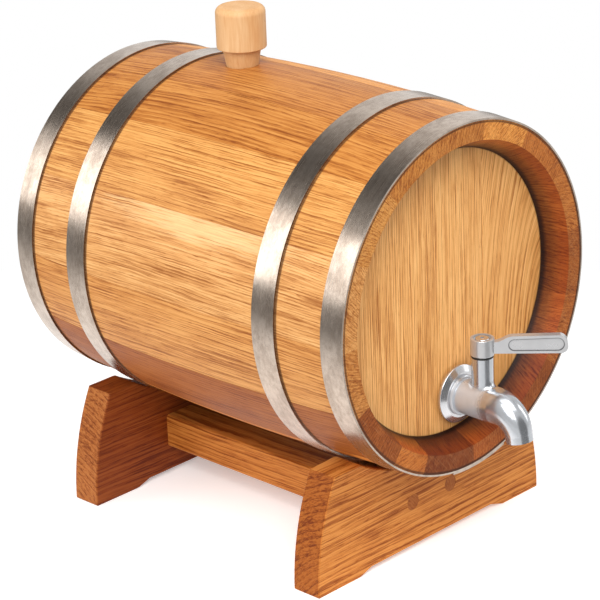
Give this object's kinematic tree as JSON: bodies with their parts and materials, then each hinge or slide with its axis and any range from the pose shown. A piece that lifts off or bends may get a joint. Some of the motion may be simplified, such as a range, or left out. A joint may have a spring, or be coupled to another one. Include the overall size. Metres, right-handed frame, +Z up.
{
  "type": "oak wine barrel",
  "caption": "Small oak wine barrel lying on a cradle stand, with steel hoops, a wooden bung on top and a quarter-turn steel spigot in its front head.",
  "frame": {"origin": "on the floor, under the middle of the whole object's box", "axes": "+Z up; the barrel's axis runs along Y, with the spigot's head towards -Y; +X is to the right as seen from the spigot's end"},
  "size_m": [0.2172, 0.3134, 0.3055],
  "materials": {
    "oak_staves": "oiled honey-coloured oak, grain along the barrel",
    "oak_heads": "oiled pale oak, grain upright",
    "oak_stand": "oiled oak with strong straight grain",
    "dowel_wood": "plain hardwood dowel, end grain showing",
    "bung_wood": "pale turned hardwood, sanded",
    "hoop_steel": "stainless strip, brushed along its length",
    "spigot_steel": "cast and machined stainless, satin polish",
    "seal_rubber": "black rubber"
  },
  "bodies": {
    "stand": {"front_cradle_board": "oak_stand", "rear_cradle_board": "oak_stand", "stretcher": "oak_stand", "stand_dowels": "dowel_wood"},
    "barrel": {"bung_stave": "oak_staves", "stave_02": "oak_staves", "stave_03": "oak_staves", "stave_04": "oak_staves", "stave_05": "oak_staves", "stave_06": "oak_staves", "stave_07": "oak_staves", "stave_08": "oak_staves", "stave_09": "oak_staves", "stave_10": "oak_staves", "stave_11": "oak_staves", "stave_12": "oak_staves", "stave_13": "oak_staves", "stave_14": "oak_staves", "stave_15": "oak_staves", "front_head_left": "oak_heads", "front_head_middle": "oak_heads", "front_head_right": "oak_heads", "rear_head_left": "oak_heads", "rear_head_middle": "oak_heads", "rear_head_right": "oak_heads", "front_head_dowels": "dowel_wood", "rear_head_dowels": "dowel_wood", "front_chime_hoop": "hoop_steel", "front_quarter_hoop": "hoop_steel", "rear_quarter_hoop": "hoop_steel", "rear_chime_hoop": "hoop_steel", "hoop_rivets": "hoop_steel", "spigot_body": "spigot_steel", "spigot_flange": "spigot_steel", "spigot_outer_washer": "seal_rubber", "spigot_inner_washer": "seal_rubber", "spigot_lock_nut": "spigot_steel", "stem_seal_ring": "seal_rubber"},
    "bung": {"bung": "bung_wood"},
    "lever": {"lever": "spigot_steel", "lever_screw": "spigot_steel", "valve_core": "spigot_steel", "valve_o_rings": "seal_rubber"}
  },
  "joints": [
    {"name": "barrel_lift", "type": "slide", "parent": "stand", "child": "barrel", "axis": [0, 0, 1], "range_m": [0, 0.15]},
    {"name": "bung_pull", "type": "slide", "parent": "barrel", "child": "bung", "axis": [0, 0, 1], "range_m": [0, 0.06]},
    {"name": "lever_turn", "type": "hinge", "parent": "barrel", "child": "lever", "pos_m": [0.007, -0.11781, 0.0975], "axis": [0, 0, 1], "range_deg": [-40, 50]}
  ]
}
